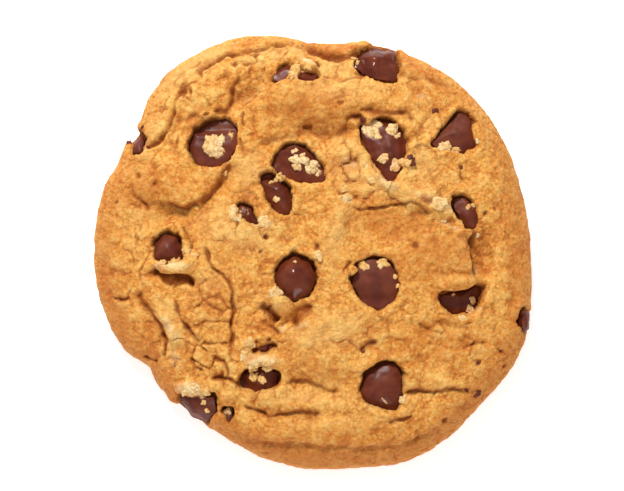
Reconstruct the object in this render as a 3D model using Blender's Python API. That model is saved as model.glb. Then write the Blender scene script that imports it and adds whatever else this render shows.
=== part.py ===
"""A large soft-baked chocolate chip cookie, lying flat.

The dough is one solid: a pillow with a wandering rim, hummocks and hollows on
top and a flat underside. Each chocolate chip is a solid of its own, a slumped
teardrop seated in a pocket of the dough with a hair of clearance. Metres, +Z up,
origin on the tray under the middle of the cookie.
"""

import math
from typing import NamedTuple

import bmesh
import bpy
from mathutils import Matrix, Vector, noise

MM = 0.001

# Dough, in section.
RIM_REACH = 44.9 * MM  # middle to rim, before the lobes and notches
RIM_HEIGHT = 2.9 * MM  # height above the tray of the rim's widest line
SHOULDER_RISE = 4.7 * MM  # from the rim's widest line to the edge of the top
SHOULDER_POWER = 9  # the higher, the tighter the turn of the shoulder
DOME_RISE = 3.4 * MM  # from the edge of the top to its middle
BASE_SHARE = 0.955  # share of the rim's reach at which the underside turns flat
BASE_TURN_SHARE = 0.988  # the same for the turn between underside and rim
BASE_TURN_HEIGHT = 1.0 * MM
SECTORS = 96
TOP_RINGS = 15
RING_CROWDING = 0.72  # below 1 the rings crowd towards the rim

# Lobes and notches of the rim: direction counterclockwise from +X and half-width,
# in degrees, and rise in mm, which is negative for a notch.
LOBES = [
    (45, 24, 1.6),
    (87, 8, -1.9),
    (112, 13, 2.4),
    (129, 10, 2.4),
    (146, 4, -1.7),
    (155, 4, -0.9),
    (215, 4.5, -1.7),
    (233, 27, -3.7),
    (292, 8, 0.9),
    (303, 13, 2.1),
    (333, 18, 2.5),
]

# Hummocks and hollows of the top, in mm: middle x and y, half-length, half-width,
# turn in degrees, and rise, which is negative for a hollow.
HUMMOCKS = [
    (-25.0, 32.5, 9.0, 5.0, 50, 0.8),  # fold along the rim
    (-0.3, 31.0, 12.0, 4.5, -5, 1.2),  # long hummock near the far side
    (-30.2, 15.0, 8.0, 6.0, 0, 1.0),
    (-20.0, 3.7, 7.0, 7.0, 0, 0.4),
    (22.4, 13.0, 8.0, 5.0, -15, 0.9),
    (2.8, 5.8, 4.0, 7.0, 0, 0.7),
    (24.4, -0.4, 7.0, 6.0, 0, 0.7),
    (2.8, -19.0, 9.0, 7.0, 0, 0.8),
    (-2.4, -36.5, 14.0, 4.0, 0, 0.6),
    (26.5, -31.3, 9.0, 4.0, 35, 0.8),
    (38.8, 11.0, 4.0, 12.0, 0, 0.5),
    (-28.0, -3.4, 4.2, 1.5, 0, 1.0),  # roll of dough against a chip
    (-20.0, -13.8, 5.0, 6.0, 0, 0.5),
    (-37.4, -13.8, 4.0, 8.0, 15, 0.5),
    (-12.7, 32.5, 3.0, 5.0, -45, -1.0),  # hollow between the two folds
    (14.1, 6.8, 7.0, 3.0, 0, -0.8),
    (34.7, -1.4, 3.0, 5.0, 0, -0.8),
    (3.8, -27.2, 9.0, 3.0, 0, -0.7),
    (-13.7, -12.8, 4.0, 4.0, 0, -0.7),
    (26.5, -17.0, 6.0, 4.0, 0, -0.5),
    (3.8, 25.3, 8.0, 2.5, 0, -0.9),
    (-31.2, 7.8, 7.0, 2.5, -20, -0.8),
]
SWELL_SPACING = 9.0 * MM  # of the loose unevenness between the hummocks
SWELL_RISE = 0.35 * MM
RELIEF_FADE = 10  # the higher, the closer to the rim the hummocks reach


class Chip(NamedTuple):
    """One chip: its face as seen from above, and how it sits in the dough."""

    at: tuple  # middle of the face, x and y in mm
    half: tuple  # half-length and half-width of the face, in mm
    turn: float  # direction of the long axis, in degrees
    taper: float  # how much narrower the end in that direction is
    rise: float  # how far the face stands above its edge, in mm
    face: float  # shape of the face: 1 pointed, 2 domed, 4 nearly flat
    lean: tuple = (0, 0)  # tip away from the dough's slope, and its heading


CHIPS = [
    Chip((13.3, 38.2), (4.7, 3.7), -20, 0.10, 1.3, 1.6),
    Chip((-3.5, 36.7), (4.7, 2.5), 8, 0.0, 0.8, 2.0),
    Chip((-19.9, 21.9), (5.0, 4.9), 30, 0.05, 0.5, 4.0),
    Chip((-2.6, 17.5), (5.4, 3.8), -25, 0.10, 1.3, 2.0),
    Chip((-6.7, 11.4), (4.4, 2.8), -58, 0.15, 1.1, 2.0),
    Chip((-13.3, 7.2), (2.2, 1.6), 0, 0.10, 0.6, 2.0),
    Chip((15.2, 20.6), (5.8, 4.3), -78, 0.25, 0.9, 3.0),
    Chip((29.6, 23.9), (4.7, 4.2), 203, 0.35, 1.1, 2.4),
    Chip((31.1, 7.4), (3.6, 2.5), -60, 0.10, 0.9, 2.0),
    Chip((30.0, -9.8), (4.7, 3.8), 10, 0.05, 0.6, 3.0, (8, 270)),
    Chip((-2.7, -5.8), (4.5, 4.2), 95, 0.05, 1.9, 2.0),
    Chip((12.9, -7.0), (5.5, 5.0), 80, 0.12, 0.7, 4.0),
    Chip((14.1, -27.7), (4.9, 4.2), -42, 0.25, 1.3, 2.2),
    Chip((-10.6, -25.8), (4.1, 2.7), -5, 0.0, 0.7, 2.5),
    Chip((-23.0, -31.2), (4.4, 3.6), 35, 0.10, 1.3, 2.0),
    Chip((-29.4, 0.6), (3.1, 2.7), 20, 0.0, 1.5, 1.8),
    Chip((-35.4, 22.2), (2.4, 1.6), 100, 0.10, 0.7, 2.0),
    Chip((43.6, -13.7), (2.7, 1.6), 105, 0.10, 0.6, 2.0, (25, -17)),
    Chip((-17.0, -31.0), (2.4, 1.5), 80, 0.10, 0.7, 2.0),
]
CHIP_SEGMENTS = 12
FACE_RINGS = 3
TIP_RINGS = 3
TIP_DEPTH_SHARE = 0.95  # buried depth of a chip, as a share of its half-width
TIP_POWER = 1.8  # how full the buried tip is
WALL_DEPTH = 0.6 * MM  # upright side between a chip's face and its buried tip
POCKET_GAP = 0.35 * MM  # clearance between a chip and its pocket
SLOPE_REACH = 2.0 * MM  # distance over which a chip feels the dough's slope


def clear_scene():
    for old in list(bpy.data.objects):
        bpy.data.objects.remove(old, do_unlink=True)


def baked_material(name, colour, roughness):
    material = bpy.data.materials.new(name)
    material.use_nodes = True
    shader = material.node_tree.nodes["Principled BSDF"]
    shader.inputs["Base Color"].default_value = (*colour, 1.0)
    shader.inputs["Roughness"].default_value = roughness
    shader.inputs["Metallic"].default_value = 0.0
    return material


def rim_reach(angle):
    """Distance from the middle to the rim in a direction."""
    reach = RIM_REACH
    for direction, half_width, rise in LOBES:
        away = (math.degrees(angle) - direction + 180.0) % 360.0 - 180.0
        reach += rise * MM * math.exp(-((away / half_width) ** 2))
    return reach


def hummock_rise(x, y):
    """Sum of the hummocks and the loose swell over a point of the tray."""
    rise = SWELL_RISE * noise.noise(Vector((x, y, 0.0)) / SWELL_SPACING)
    for mid_x, mid_y, length, width, turn, height in HUMMOCKS:
        away_x, away_y = x - mid_x * MM, y - mid_y * MM
        cos, sin = math.cos(math.radians(turn)), math.sin(math.radians(turn))
        along = (away_x * cos + away_y * sin) / (length * MM)
        across = (away_y * cos - away_x * sin) / (width * MM)
        rise += height * MM * math.exp(-(along**2 + across**2))
    return rise


def top_height(x, y):
    """Height of the dough's top over a point of the tray."""
    share = min(1.0, math.hypot(x, y) / rim_reach(math.atan2(y, x)))
    shoulder = SHOULDER_RISE * math.sqrt(1.0 - share**SHOULDER_POWER)
    dome = DOME_RISE * (1.0 - share**2)
    relief = (1.0 - share**RELIEF_FADE) * hummock_rise(x, y)
    return RIM_HEIGHT + shoulder + dome + relief


def object_from(bm, name, material):
    mesh = bpy.data.meshes.new(name)
    bm.to_mesh(mesh)
    bm.free()
    mesh.materials.append(material)
    mesh.shade_smooth()
    piece = bpy.data.objects.new(name, mesh)
    bpy.context.scene.collection.objects.link(piece)
    return piece


def spun(profile, segments):
    """Closed solid turned about Z from a profile of (radius, height) points."""
    bm = bmesh.new()
    points = [bm.verts.new((radius, 0.0, height)) for radius, height in profile]
    edges = [bm.edges.new(pair) for pair in zip(points, points[1:])]
    bmesh.ops.spin(
        bm, geom=points + edges, cent=(0, 0, 0), axis=(0, 0, 1),
        angle=2 * math.pi, steps=segments, use_merge=True,
    )
    bmesh.ops.remove_doubles(bm, verts=bm.verts, dist=0.01 * MM)
    bmesh.ops.recalc_face_normals(bm, faces=bm.faces)
    return bm


def dough_solid(material):
    """The pillow of dough: spun at unit radius, then shaped to rim and hummocks."""
    rings = [(ring / TOP_RINGS) ** RING_CROWDING for ring in range(TOP_RINGS, 0, -1)]
    underside = [(0.0, 0.0), (BASE_SHARE, 0.0), (BASE_TURN_SHARE, BASE_TURN_HEIGHT)]
    top = [(share, RIM_HEIGHT) for share in rings] + [(0.0, RIM_HEIGHT)]
    bm = spun(underside + top, SECTORS)
    for vert in bm.verts:
        reach = rim_reach(math.atan2(vert.co.y, vert.co.x))
        vert.co.x *= reach
        vert.co.y *= reach
        if vert.co.z > BASE_TURN_HEIGHT * 1.01:
            vert.co.z = top_height(vert.co.x, vert.co.y)
    return object_from(bm, "dough", material)


def chip_profile(chip, grow):
    """Half section of a chip, from buried tip to the middle of its face, at unit
    radius and with heights in metres. Growth goes to the heights only."""
    depth = chip.half[1] * MM * TIP_DEPTH_SHARE + grow
    rise = chip.rise * MM + grow
    buried = [math.sin(math.pi / 2 * ring / TIP_RINGS) for ring in range(TIP_RINGS + 1)]
    profile = [
        (radius, -WALL_DEPTH - depth * (1.0 - radius**TIP_POWER)) for radius in buried
    ]
    for ring in range(FACE_RINGS, -1, -1):
        radius = ring / FACE_RINGS
        profile.append((radius, rise * (1.0 - radius**chip.face)))
    return profile


def dough_tilt(x, y):
    """Turn that takes +Z to the dough's outward direction round a point."""
    east = top_height(x + SLOPE_REACH, y) - top_height(x - SLOPE_REACH, y)
    north = top_height(x, y + SLOPE_REACH) - top_height(x, y - SLOPE_REACH)
    outward = Vector((-east, -north, 2 * SLOPE_REACH))
    return Vector((0.0, 0.0, 1.0)).rotation_difference(outward).to_matrix().to_4x4()


def tipped(lean, heading):
    """Turn that tips +Z over towards a heading, both in degrees."""
    about = Matrix.Rotation(math.radians(heading), 4, "Z")
    return about @ Matrix.Rotation(math.radians(lean), 4, "Y") @ about.inverted()


def chip_mesh(chip, grow):
    """A chip in its place, larger by grow all round."""
    bm = spun(chip_profile(chip, grow), CHIP_SEGMENTS)
    length, width = chip.half[0] * MM + grow, chip.half[1] * MM + grow
    for vert in bm.verts:
        narrowing = 1.0 - chip.taper * vert.co.x
        vert.co.x *= length
        vert.co.y *= width * narrowing
    x, y = chip.at[0] * MM, chip.at[1] * MM
    place = (
        Matrix.Translation((x, y, top_height(x, y)))
        @ dough_tilt(x, y)
        @ tipped(*chip.lean)
        @ Matrix.Rotation(math.radians(chip.turn), 4, "Z")
    )
    bmesh.ops.transform(bm, matrix=place, verts=bm.verts)
    return bm


def cut_pocket(dough, name, chip, material):
    """Takes a chip's room, and the clearance round it, out of the dough."""
    cutter = object_from(chip_mesh(chip, POCKET_GAP), "pocket_" + name, material)
    cutter.hide_render = True
    cutter.display_type = "WIRE"
    cut = dough.modifiers.new(cutter.name, "BOOLEAN")
    cut.operation = "DIFFERENCE"
    cut.solver = "EXACT"
    cut.object = cutter


def main():
    clear_scene()
    crust = baked_material("baked_dough", (0.72, 0.36, 0.09), 0.8)
    chocolate = baked_material("dark_chocolate", (0.1, 0.03, 0.02), 0.4)
    dough = dough_solid(crust)
    for number, chip in enumerate(CHIPS, start=1):
        name = f"chip_{number:02d}"
        object_from(chip_mesh(chip, 0.0), name, chocolate)
        cut_pocket(dough, name, chip, crust)


main()
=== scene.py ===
"""Looks of a large soft-baked chocolate chip cookie: the crust, its creases and
torn crumb, the chocolate chips and the crumbs that cling to them."""

import math
import random
from typing import NamedTuple

import bmesh
import bpy
import numpy as np
from mathutils import Matrix, Vector, noise


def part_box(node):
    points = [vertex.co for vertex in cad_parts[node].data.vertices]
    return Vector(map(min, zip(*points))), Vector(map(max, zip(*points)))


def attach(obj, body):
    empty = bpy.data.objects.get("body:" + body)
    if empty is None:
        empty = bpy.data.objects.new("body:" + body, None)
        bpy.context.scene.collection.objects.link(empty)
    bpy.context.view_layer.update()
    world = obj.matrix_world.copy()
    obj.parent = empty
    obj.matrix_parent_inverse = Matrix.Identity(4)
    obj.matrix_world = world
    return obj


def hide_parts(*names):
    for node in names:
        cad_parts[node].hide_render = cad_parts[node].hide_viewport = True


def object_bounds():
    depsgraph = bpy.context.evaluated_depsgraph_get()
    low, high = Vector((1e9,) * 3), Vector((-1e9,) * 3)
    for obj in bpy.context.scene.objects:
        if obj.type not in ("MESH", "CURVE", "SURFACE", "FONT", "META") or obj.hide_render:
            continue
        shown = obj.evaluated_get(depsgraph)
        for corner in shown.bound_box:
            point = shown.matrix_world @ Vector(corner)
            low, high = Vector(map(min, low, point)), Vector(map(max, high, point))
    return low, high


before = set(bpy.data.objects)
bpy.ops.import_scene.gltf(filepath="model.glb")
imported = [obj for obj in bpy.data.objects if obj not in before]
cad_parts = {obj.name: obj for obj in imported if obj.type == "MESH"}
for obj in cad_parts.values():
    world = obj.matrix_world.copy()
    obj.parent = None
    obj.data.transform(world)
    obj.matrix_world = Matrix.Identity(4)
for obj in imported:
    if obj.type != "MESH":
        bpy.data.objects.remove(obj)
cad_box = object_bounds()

MM = 0.001
SEED = 7

# ---------------------------------------------------------------------------
# The cookie's form, in mm. The pillow, lobes and hummocks are those of the solid
# model; the finer creases, ridges and pits are added here.
# ---------------------------------------------------------------------------
RIM_REACH = 44.9
RIM_HEIGHT = 2.9
SHOULDER_RISE = 4.7
SHOULDER_POWER = 9
DOME_RISE = 3.4
RELIEF_FADE = 10
BASE_SHARE = 0.955
SWELL_SPACING = 9.0
SWELL_RISE = 0.35
HUMMOCK_LIFT = 1.4  # the fine surface carries the hummocks a little higher

# Lobes and notches of the rim: direction and half-width in degrees, rise.
LOBES = [
    (45, 24, 1.6),
    (87, 8, -1.9),
    (112, 13, 2.4),
    (129, 10, 2.4),
    (146, 4, -1.7),
    (155, 4, -0.9),
    (215, 4.5, -1.7),
    (233, 27, -3.7),
    (292, 8, 0.9),
    (303, 13, 2.1),
    (333, 18, 2.5),
]

# Hummocks and hollows: middle x, y, half-length, half-width, turn, rise.
HUMMOCKS = [
    (-25, 32.5, 9, 5, 50, 0.8),
    (-0.3, 31, 12, 4.5, -5, 1.2),
    (-30.2, 15, 8, 6, 0, 1),
    (-20, 3.7, 7, 7, 0, 0.4),
    (22.4, 13, 8, 5, -15, 0.9),
    (2.8, 5.8, 4, 7, 0, 0.7),
    (24.4, -0.4, 7, 6, 0, 0.7),
    (2.8, -19, 9, 7, 0, 0.8),
    (-2.4, -36.5, 14, 4, 0, 0.6),
    (26.5, -31.3, 9, 4, 35, 0.8),
    (38.8, 11, 4, 12, 0, 0.5),
    (-28, -3.4, 4.2, 1.5, 0, 1),
    (-20, -13.8, 5, 6, 0, 0.5),
    (-37.4, -13.8, 4, 8, 15, 0.5),
    (-12.7, 32.5, 3, 5, -45, -1),
    (14.1, 6.8, 7, 3, 0, -0.8),
    (34.7, -1.4, 3, 5, 0, -0.8),
    (3.8, -27.2, 9, 3, 0, -0.7),
    (-13.7, -12.8, 4, 4, 0, -0.7),
    (26.5, -17, 6, 4, 0, -0.5),
    (3.8, 25.3, 8, 2.5, 0, -0.9),
    (-31.2, 7.8, 7, 2.5, -20, -0.8),
]


class Crease(NamedTuple):
    """A crease, crack, ridge or ledge along a short drawn route."""

    route: list  # points on the tray, mm
    width: float
    depth: float  # negative for a ridge
    lip: float = 0.0  # how far the dough is pushed up beside it
    step: float = 0.0  # how far the dough on the route's left stands higher


CREASES = [
    # Upper left: the rolled lobe, the lumps inside it and the valley beside them.
    Crease([(-34, 20.6), (-32, 21.8), (-29.4, 24.6), (-28, 27.5), (-27.6, 29.8),
            (-26.6, 32.6), (-25, 35.2)], 0.5, 1, 0.3, 0.3),
    Crease([(-25, 35.2), (-20.8, 38.6), (-15, 41), (-11, 41.4), (-5, 42.9),
            (-0.4, 42)], 0.4, 0.6, 0.2, 0.2),
    Crease([(-26.2, 32.4), (-24.4, 32), (-23.2, 33.6)], 0.5, 0.6, 0.2),
    Crease([(-22.4, 31.6), (-21.2, 30.6), (-20.4, 29.6)], 0.4, 0.5, 0.2),
    Crease([(-20, 28.4), (-17.6, 28.6), (-16.2, 31), (-15.9, 34), (-14, 36.4)],
           0.9, 0.7, 0, 0.9),
    Crease([(-17, 29.4), (-14, 32.6), (-10, 35), (-7, 36)], 1.9, 0.3),
    Crease([(-15, 29.2), (-12.2, 31.2), (-8.4, 33.8), (-5, 34.9), (-1, 34.4)],
           0.8, 0.1, 0, -1.1),
    Crease([(-13.8, 28.6), (-14.2, 26.6), (-13.5, 25)], 0.4, 0.8, 0.15),
    Crease([(-14.9, 23.2), (-14.1, 21.4), (-13.6, 20.2)], 0.4, 0.7, 0.15),
    # Far side: mound, its shaded edge and the smooth roll along the rim.
    Crease([(-11, 21.6), (-8, 22.8), (-4, 23.8), (0, 25.2), (4, 24.2),
            (9, 24.8)], 1.1, 0.4, 0, 1),
    Crease([(-1.8, 25.2), (0.2, 25.4)], 0.35, 0.7),
    Crease([(5.2, 30.2), (6.6, 30.1)], 0.4, 0.7),
    Crease([(7, 26.6), (9.6, 26.9), (11, 24.6)], 0.8, 1.1),
    Crease([(-1.4, 42.4), (2, 40.7), (5, 39.8), (8, 39.9), (10.6, 40.8)],
           0.9, 1, 0.3, 0.4),
    Crease([(-1.4, 39.9), (0.2, 39.1), (1.8, 37.3)], 0.35, 1, 0.2),
    Crease([(9.4, 28.9), (13.4, 28.1), (17, 28.3), (19.4, 28.4), (20.8, 26.2)],
           0.8, 0.8, 0.1, 0.5),
    Crease([(16.4, 36.6), (20, 35.8), (25, 34.9), (29.4, 33.6)], 0.9, 0.5, 0.1),
    Crease([(30.2, 17.6), (30.3, 15.8), (31, 14.2)], 0.45, 0.7, 0.1),
    # Left: the big hummock and the cracks about the small dome-shaped chip.
    Crease([(-37.5, 13.6), (-35.8, 11.6), (-33.2, 9), (-33, 7.4)], 0.6, 0.6, 0.1),
    Crease([(-30.4, 10.2), (-28, 8.9), (-25.4, 8.3), (-22.6, 10), (-20.3, 11.6),
            (-18, 15), (-16.2, 18.2)], 0.7, 0.8, 0, 1.2),
    Crease([(-34.9, 5.6), (-34.6, 3.8)], 0.4, 0.6),
    Crease([(-26.4, 5.2), (-25, 2.8), (-24.5, 1.5), (-24, -0.2)], 0.5, 0.9, 0.25),
    Crease([(-22, 1), (-20.6, -1.8), (-19.8, -3.6), (-16.6, -6.5), (-15.9, -10),
            (-15.5, -12.6), (-16.3, -14.2), (-16, -17), (-16, -21)],
           0.5, 1, 0.3, -0.3),
    Crease([(-32.4, -3.4), (-31.8, -4.8), (-30.2, -5.7), (-27.4, -5.8), (-25, -5.5),
            (-23.2, -7.5)], 0.8, 2.4, 0.2),
    Crease([(-31, -3.3), (-28, -3.5), (-24.6, -2.9), (-22.4, -2.4)], 1.35, -1.5),
    Crease([(-23.4, -7.6), (-21.2, -5.6)], 0.4, 0.6),
    Crease([(-35, -7.8), (-34.8, -9.6), (-32.2, -13), (-31, -14.8), (-30, -17),
            (-28.6, -18.8)], 0.7, 1.1, 0.1, 0.5),
    Crease([(-31, -11), (-29.3, -14.4), (-28, -17.2), (-26.2, -19.4)], 1.1, -0.8),
    Crease([(-27.6, -9.4), (-27, -12), (-26.2, -14.6), (-23.6, -17.2), (-22.2, -18.6)],
           0.55, 0.9, 0.2, 0.3),
    Crease([(-22.2, -18.4), (-19, -18.6), (-16.5, -18.9)], 0.5, 0.5, 0.15),
    Crease([(-22.4, -14.5), (-19, -14.3), (-16.2, -14.6)], 0.45, 0.4, 0.1),
    Crease([(-40.6, -9.4), (-38.8, -9.9), (-36.8, -9.7)], 0.45, 0.6, 0.1),
    # Lower left: torn crumb beside the notch and over the edge chip.
    Crease([(-30.2, -15.6), (-29.5, -18.6), (-30.1, -21.6)], 0.5, 0.9, 0.1),
    Crease([(-34.2, -21.6), (-31.4, -22.6)], 0.5, 0.8),
    Crease([(-24.6, -21.4), (-23.8, -23.4), (-22, -24.3)], 0.5, 0.8, 0.2),
    Crease([(-18.2, -21.8), (-17, -24.4), (-16.6, -25.8)], 0.45, 0.7, 0.2),
    Crease([(-20.2, -26), (-17, -26), (-15, -26.8), (-13.8, -28)], 0.45, 0.9, 0.2),
    Crease([(-12.2, -20.5), (-10, -19.9), (-7, -19.2)], 1.1, 2.4, 0.1),
    Crease([(-10.2, -10.6), (-8.5, -12.4), (-6.8, -14.6)], 1.5, 2.6, 0.2, 0.5),
    Crease([(-10.6, -14), (-8, -15.6), (-6.6, -17.2)], 0.5, 0.7, 0.2),
    Crease([(-0.2, -10.6), (-1.8, -12.8), (-4, -15.2)], 1, 1.3),
    Crease([(-7.4, -18.2), (-5, -16.1), (-2.4, -14.6), (0.2, -12.6)], 0.6, 0.1, 0, -0.9),
    # Middle and right: the mound with its cracked far edge and steep right flank.
    Crease([(5, 11), (7.4, 11.8), (9.4, 10.8)], 0.45, 0.5, 0.1),
    Crease([(8, 9), (9.8, 8.2), (13, 8.9), (17, 9.2), (20.6, 9.8), (22.6, 8.4),
            (24.6, 7.4)], 0.45, 0.7, 0.2, 0.35),
    Crease([(12, 15.4), (17, 13), (22, 10.8), (27, 8.6), (31, 6.6)], 2.2, -0.8),
    Crease([(24.4, 6), (28, 5.2), (31.2, 3.8)], 0.6, 0.2, 0, -0.7),
    Crease([(33, 4.4), (32.4, 2), (32.3, 0), (33, -2.4), (33, -5.2)],
           1, 1.9, 0.1, -1.2),
    Crease([(35, 1.6), (36.6, -0.2), (37, -1.6)], 2, 0.3),
    Crease([(6.4, -5), (7.3, -3), (8, -2)], 0.45, 0.6, 0.15),
    Crease([(3.8, -11), (6.2, -10.9)], 0.5, 0.5, 0.1),
    Crease([(-4, 7), (-1.8, 7.2), (-1.5, 6.4)], 0.5, 0.6, 0.1),
    Crease([(0.4, 10.6), (1.6, 10.9)], 0.45, 0.6),
    Crease([(20.8, -14.6), (24, -16), (26, -16.8), (27.2, -16.2)], 0.5, 0.6, 0.1),
    Crease([(31, -20.4), (31.4, -19.4), (33, -19), (35.4, -18.6)], 0.5, 0.6, 0.1),
    # Near side: long soft folds, then the ledge where the browned wall starts.
    Crease([(-6, -26.4), (-1, -26.1), (3, -27.8), (5.6, -28.5)], 0.7, 0.6, 0, 0.6),
    Crease([(-14.2, -31.1), (-11.4, -32), (-8.8, -33.4), (-5, -33), (-1.8, -32.2),
            (2.4, -32.8)], 0.7, 0.7, 0, 0.6),
    Crease([(18.4, -28.5), (22, -28.3), (27, -28), (31.4, -28.1)], 0.5, 0.8, 0.1, 0.5),
    Crease([(14.8, -34.6), (18, -33.8), (20.6, -33)], 0.5, 0.8, 0.1, 0.3),
    Crease([(21, -36), (21.6, -37.8), (20.6, -38.8)], 0.5, 0.5, 0.1),
    Crease([(-19, -35.6), (-14, -37.9), (-8, -39), (0, -39.2), (8, -39.8),
            (15, -39.6), (21, -38.2), (27.4, -34.8)], 0.8, 0.4, 0.1, 0.7),
    Crease([(10, -20.6), (12, -19), (13.4, -18.2)], 0.9, 1.3),
]

# Small pits: x, y, reach and depth, mm.
PITS = [
    (-35.2, 15.3, 0.6, 0.7), (-31.8, 13.2, 0.5, 0.6), (-40.2, 10.2, 0.5, 0.5),
    (-39, -9.8, 0.5, 0.7), (-11, -18.4, 0.4, 0.8), (-8.8, -18.2, 0.4, 0.8),
    (0.9, 0.6, 0.6, 0.9), (-9.6, 2.8, 0.6, 1.1), (-10.4, -0.4, 0.4, 0.7),
    (35, 7.6, 0.5, 0.7), (37.3, 8.6, 0.4, 0.5), (34, -22.8, 0.6, 0.8),
    (38.6, -20.2, 0.4, 0.6), (39.1, -23.4, 0.4, 0.6), (27, -34.5, 0.5, 0.7),
    (-21.2, 28, 0.5, 0.6), (-15.6, 38.4, 0.5, 0.5), (21, 1.2, 0.6, 0.6),
]
WANDER = 0.6  # how far routes stray from their drawn line, mm
WANDER_SPACING = 3.0
LEDGE_REACH = 4.0  # how far a ledge takes to die away, mm
GROOVE_SHARE = 0.8  # how much of its width a crease's groove takes


class Chip(NamedTuple):
    """How one chip shows: its outline as drawn and the form of its face."""

    outline: list  # points on the tray, mm, clockwise or anticlockwise
    rise: float  # how far the face stands above its edge, mm
    face: float  # 1 pointed, 2 domed, 4 nearly flat
    facets: int = 2  # flat places on the face
    gloss: float = 0.35  # 0 matt to 1 glossy
    crinkle: float = 0.2  # unevenness of the face, mm
    gap: float = 0.4  # open gap between chip and dough, mm
    bank: float = 0.7  # height of the dough banked up round it, mm
    sink: float = 0.9  # how far its face lies below its solid's, mm


CHIPS = {
    "chip_01": Chip([(8.5, 38), (10.4, 41.3), (13, 42.6), (17.2, 42), (18, 38),
                     (17.6, 34.5), (13, 34.9), (10.5, 36.2)], 1.9, 1.6, 4, 1, 0.35, sink=0.3),
    "chip_02": Chip([(-8.2, 35.2), (-6.8, 37.6), (-5, 38.5), (-1.5, 38), (1.3, 36.6),
                     (1.2, 35), (-1, 34.5), (-4, 34.9), (-6.5, 34.4)], 1, 2, 2, 0.6),
    "chip_03": Chip([(-25.2, 21.2), (-23.6, 24.4), (-21, 26.3), (-17.3, 27.2),
                     (-15.2, 24.8), (-15.1, 21.2), (-17.6, 17.4), (-20, 16.9),
                     (-23.2, 17.4)], 0.5, 4, 1, 0.4, sink=1.3, bank=0.9),
    "chip_04": Chip([(-8.3, 17), (-7, 19.8), (-4, 21.7), (-1.2, 20.8), (1.2, 18.6),
                     (3.1, 15.6), (2.6, 13.8), (-0.4, 13.5), (-4.5, 14.2)], 1.6, 2, 3, 0.9),
    "chip_05": Chip([(-10.6, 15), (-8.4, 16), (-7, 14.4), (-4.6, 12.6), (-3.8, 9.4),
                     (-4.2, 7.2), (-7, 7.3), (-9.2, 10.6)], 1.4, 2, 3, 0.7),
    "chip_06": Chip([(-15.6, 7.8), (-14.3, 9.4), (-12.2, 8.6), (-11.4, 7), (-10.4, 5.2),
                     (-13, 5.8)], 0.7, 2, 1),
    "chip_07": Chip([(9.3, 26.8), (11.6, 24.4), (13, 26.4), (15.4, 26.8), (18.2, 24.9),
                     (19.6, 22), (19, 18.6), (16.6, 13.3), (15, 14.2), (13, 17.2),
                     (10.8, 21.4)], 1.2, 2.6, 2, 0.5, 0.3, sink=1.4, bank=1),
    "chip_08": Chip([(30.4, 28.7), (32, 28), (34, 24.6), (33.6, 21.4), (31, 19.8),
                     (28, 20.5), (23.9, 21.5), (25.2, 23), (27.6, 25.6)],
                    1.5, 2, 3, 0.1, 0.2, sink=0.9),
    "chip_09": Chip([(28.9, 10.8), (31.4, 10.7), (33.4, 8.8), (34.1, 6.2), (33.3, 4.3),
                     (31.4, 4.5), (30, 6.6), (29, 8.6)], 1, 2, 2, 0.5),
    "chip_10": Chip([(25.6, -8.8), (29, -7.9), (33, -7.2), (35, -6.6), (34.9, -10.6),
                     (32.4, -12.9), (28.6, -13.4), (26.4, -11.6)], 1.7, 2, 2, 0.9, sink=2.6),
    "chip_11": Chip([(-7.4, -5.6), (-6.6, -2.8), (-3.7, -1), (-0.6, -2.2), (1.1, -5.6),
                     (-0.4, -9.1), (-3.6, -10.4), (-6.5, -8.8)], 2.6, 2, 0, 1, 0.1, sink=0.3),
    "chip_12": Chip([(8.2, -6.6), (8.9, -3.2), (12.2, -1.7), (15.9, -2.5), (17.8, -6.4),
                     (17, -9.9), (14, -12.3), (10.4, -10.6)], 0.5, 4, 1, 0, 0.12, sink=1),
    "chip_13": Chip([(9.7, -28.4), (10.9, -25.2), (13.2, -23.2), (16.7, -22.6), (18.2, -25),
                     (18.4, -29.8), (17.2, -32.4), (13.4, -31.8), (10.6, -30.6)],
                    1.6, 2, 2, 0.45, sink=0.9),
    "chip_14": Chip([(-14.9, -26.5), (-13.2, -24.5), (-9.6, -23.7), (-6.8, -24.8),
                     (-7, -27.4), (-10.8, -28.8), (-14, -28.2)], 0.9, 2.5, 2, 0.3, sink=1.3),
    "chip_15": Chip([(-27.4, -30.2), (-24, -28.2), (-19.3, -29.4), (-19.2, -32.4),
                     (-21.2, -35.3), (-24.6, -34.8)], 1.3, 2, 3, 0.3, 0.25, sink=0.6),
    "chip_16": Chip([(-32, -1.6), (-31.9, 1.4), (-29.9, 3.6), (-27.3, 2.8), (-26.2, -0.2),
                     (-26.5, -2.2), (-29.2, -2.8)], 1.9, 1.8, 0, 0.35, 0.15, sink=0.5),
    "chip_17": Chip([(-37, 20), (-36.8, 23.2), (-35.2, 24.6), (-34.2, 22.4),
                     (-34.6, 19.9)], 0.7, 2, 1, sink=0.6),
    "chip_18": Chip([(42.8, -12), (44.8, -12.6), (45.1, -16), (43.4, -16.8),
                     (42.4, -14.4)], 0.6, 2, 1, sink=0.3),
    "chip_19": Chip([(-18, -32.4), (-16.6, -31.4), (-15.8, -33.2), (-16.8, -35)],
                    0.9, 2, 1, gap=0.1, bank=0.3, sink=0.4),
}
OUTLINE_STEPS = 120  # directions in which an outline is measured
CORNER_ROUNDS = 6
# The painted shadow in the gaps round the chips is also strongest on this side.
OPEN_SIDE = 95.0  # the dough shrank away from the chips mostly on this side, degrees
OPEN_SPREAD = 25.0  # by how much that side varies from chip to chip, degrees
OPEN_GAP = 0.45
POCKET_DEPTH = 3.0

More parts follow.
